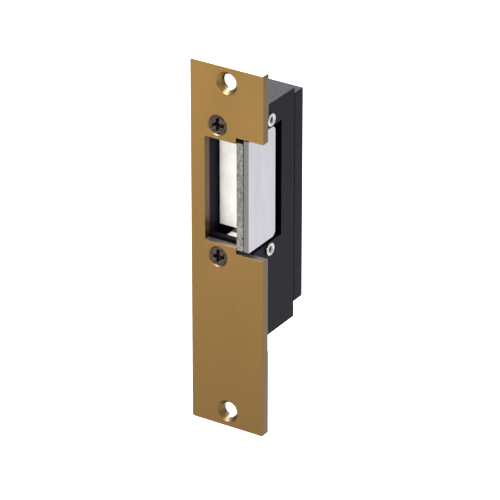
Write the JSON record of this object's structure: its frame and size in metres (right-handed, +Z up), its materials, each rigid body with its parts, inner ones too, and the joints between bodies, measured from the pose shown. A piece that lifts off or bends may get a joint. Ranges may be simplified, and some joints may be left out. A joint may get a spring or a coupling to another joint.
{
  "type": "electric door strike",
  "caption": "Electric door strike: slim brass-coloured faceplate with a latch opening, black body behind it, swinging steel keeper, locking lever and solenoid.",
  "frame": {"origin": "centre of the faceplate's back plane, which seats on the jamb", "axes": "+Z up along the faceplate, +Y from the door's side into the jamb, +X towards the edge that the keeper opens past"},
  "size_m": [0.0318, 0.0376, 0.1492],
  "materials": {
    "brass_plate": "satin brass-coloured plate",
    "black_body": "black coated, satin",
    "black_screw": "black oxide",
    "keeper_steel": "as-cast and tumbled",
    "polished_steel": "smooth satin",
    "bright_plate": "bright, smooth",
    "zinc": "die-cast, satin",
    "rivet_steel": "bright plated",
    "spring_steel": "drawn wire",
    "frame_steel": "zinc plated",
    "bobbin_nylon": "natural nylon",
    "copper": "enamelled copper wire",
    "terminal_plastic": "black moulded",
    "terminal_brass": "bright",
    "lead_insulation": "soft PVC"
  },
  "bodies": {
    "frame": {"faceplate": "brass_plate", "housing": "black_body", "rear_cover": "black_body", "upper_faceplate_screw": "black_screw", "lower_faceplate_screw": "black_screw", "upper_cover_screw": "black_screw", "lower_cover_screw": "black_screw", "upper_solenoid_screw": "black_screw", "lower_solenoid_screw": "black_screw", "upper_bearing_block": "zinc", "lower_bearing_block": "zinc", "upper_tubular_rivet": "rivet_steel", "lower_tubular_rivet": "rivet_steel", "keeper_pivot_pin": "rivet_steel", "lever_pivot_pin": "rivet_steel", "keeper_spring": "spring_steel", "plunger_spring": "spring_steel", "solenoid_frame": "frame_steel", "fixed_core": "frame_steel", "left_lever_spacer": "terminal_brass", "right_lever_spacer": "terminal_brass", "bobbin": "bobbin_nylon", "coil_winding": "copper", "terminal_block": "terminal_plastic", "left_terminal_plate": "terminal_brass", "right_terminal_plate": "terminal_brass", "left_terminal_screw": "terminal_brass", "right_terminal_screw": "terminal_brass", "left_coil_lead": "lead_insulation", "right_coil_lead": "lead_insulation"},
    "keeper": {"keeper": "keeper_steel", "keeper_wear_plate": "bright_plate", "keeper_face_plate": "polished_steel", "upper_keeper_face_screw": "keeper_steel", "lower_keeper_face_screw": "keeper_steel"},
    "lever": {"locking_lever": "frame_steel"},
    "plunger": {"plunger": "rivet_steel"}
  },
  "joints": [
    {"name": "keeper_hinge", "type": "hinge", "parent": "frame", "child": "keeper", "pos_m": [0.0036, 0.0124, 0.0234], "axis": [0, 0, 1], "range_deg": [0, 50], "stiffness_Nm_per_rad": 0.03, "springref_deg": -22.92, "deforming": ["keeper_spring"]},
    {"name": "lever_pivot", "type": "hinge", "parent": "frame", "child": "lever", "pos_m": [-0.0016, 0.0174, -0.0095], "axis": [1, 0, 0], "range_deg": [0, 12]},
    {"name": "plunger_slide", "type": "slide", "parent": "frame", "child": "plunger", "axis": [0, 0, 1], "range_m": [-0.00168, 0], "stiffness_N_per_m": 300, "springref_m": 0.002, "deforming": ["plunger_spring"]}
  ],
  "couplings": [
    {"joint": "lever_pivot", "follows": "plunger_slide", "rad_per_m": -125}
  ]
}
